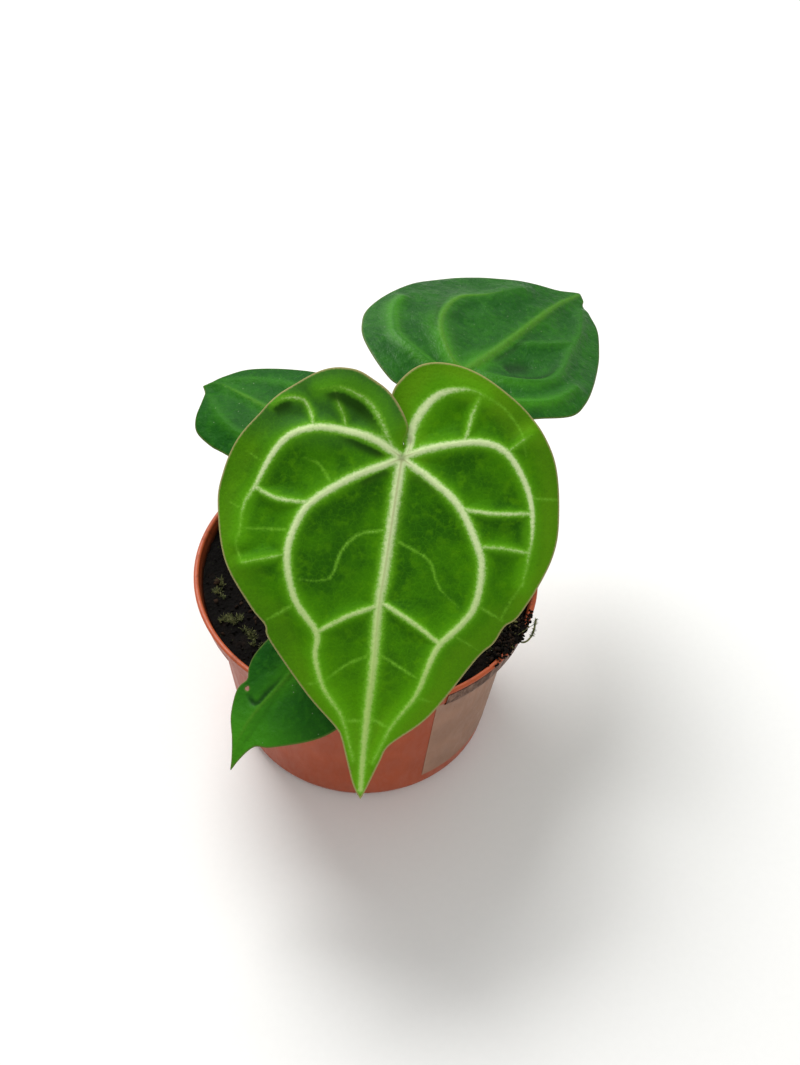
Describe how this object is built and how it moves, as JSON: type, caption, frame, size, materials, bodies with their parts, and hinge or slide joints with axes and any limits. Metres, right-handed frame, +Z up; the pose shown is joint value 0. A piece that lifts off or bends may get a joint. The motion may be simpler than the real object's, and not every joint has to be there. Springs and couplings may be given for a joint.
{
  "type": "potted anthurium clarinervium house plant",
  "caption": "Young potted aroid with heart-shaped, pale-veined leaves on thin stalks in a low round nursery pot filled with soil.",
  "frame": {"origin": "centre of the pot's flat underside", "axes": "+Z up out of the pot, -Y the way the big leaf's tip points, +X to the right of that view, where the pot's sticker is"},
  "size_m": [0.1447, 0.2028, 0.164],
  "materials": {
    "pot": "satin terracotta-coloured moulded plastic",
    "label": "plain satin sticker, dusty at the collar",
    "soil": "moist dark potting mix",
    "crown": "papery old leaf bases",
    "stalk": "satin green stem",
    "young_leaf": "velvety green with whitish veins",
    "old_leaf": "satin dark green with lighter veins"
  },
  "bodies": {
    "root": {"pot": "pot", "pot_label": "label", "soil": "soil", "crown": "crown", "petiole_main": "stalk", "petiole_back_right": "stalk", "petiole_back_left": "stalk", "petiole_small": "stalk", "leaf_main": "young_leaf", "leaf_back_right": "old_leaf", "leaf_back_left": "old_leaf", "leaf_small": "old_leaf"}
  },
  "joints": []
}
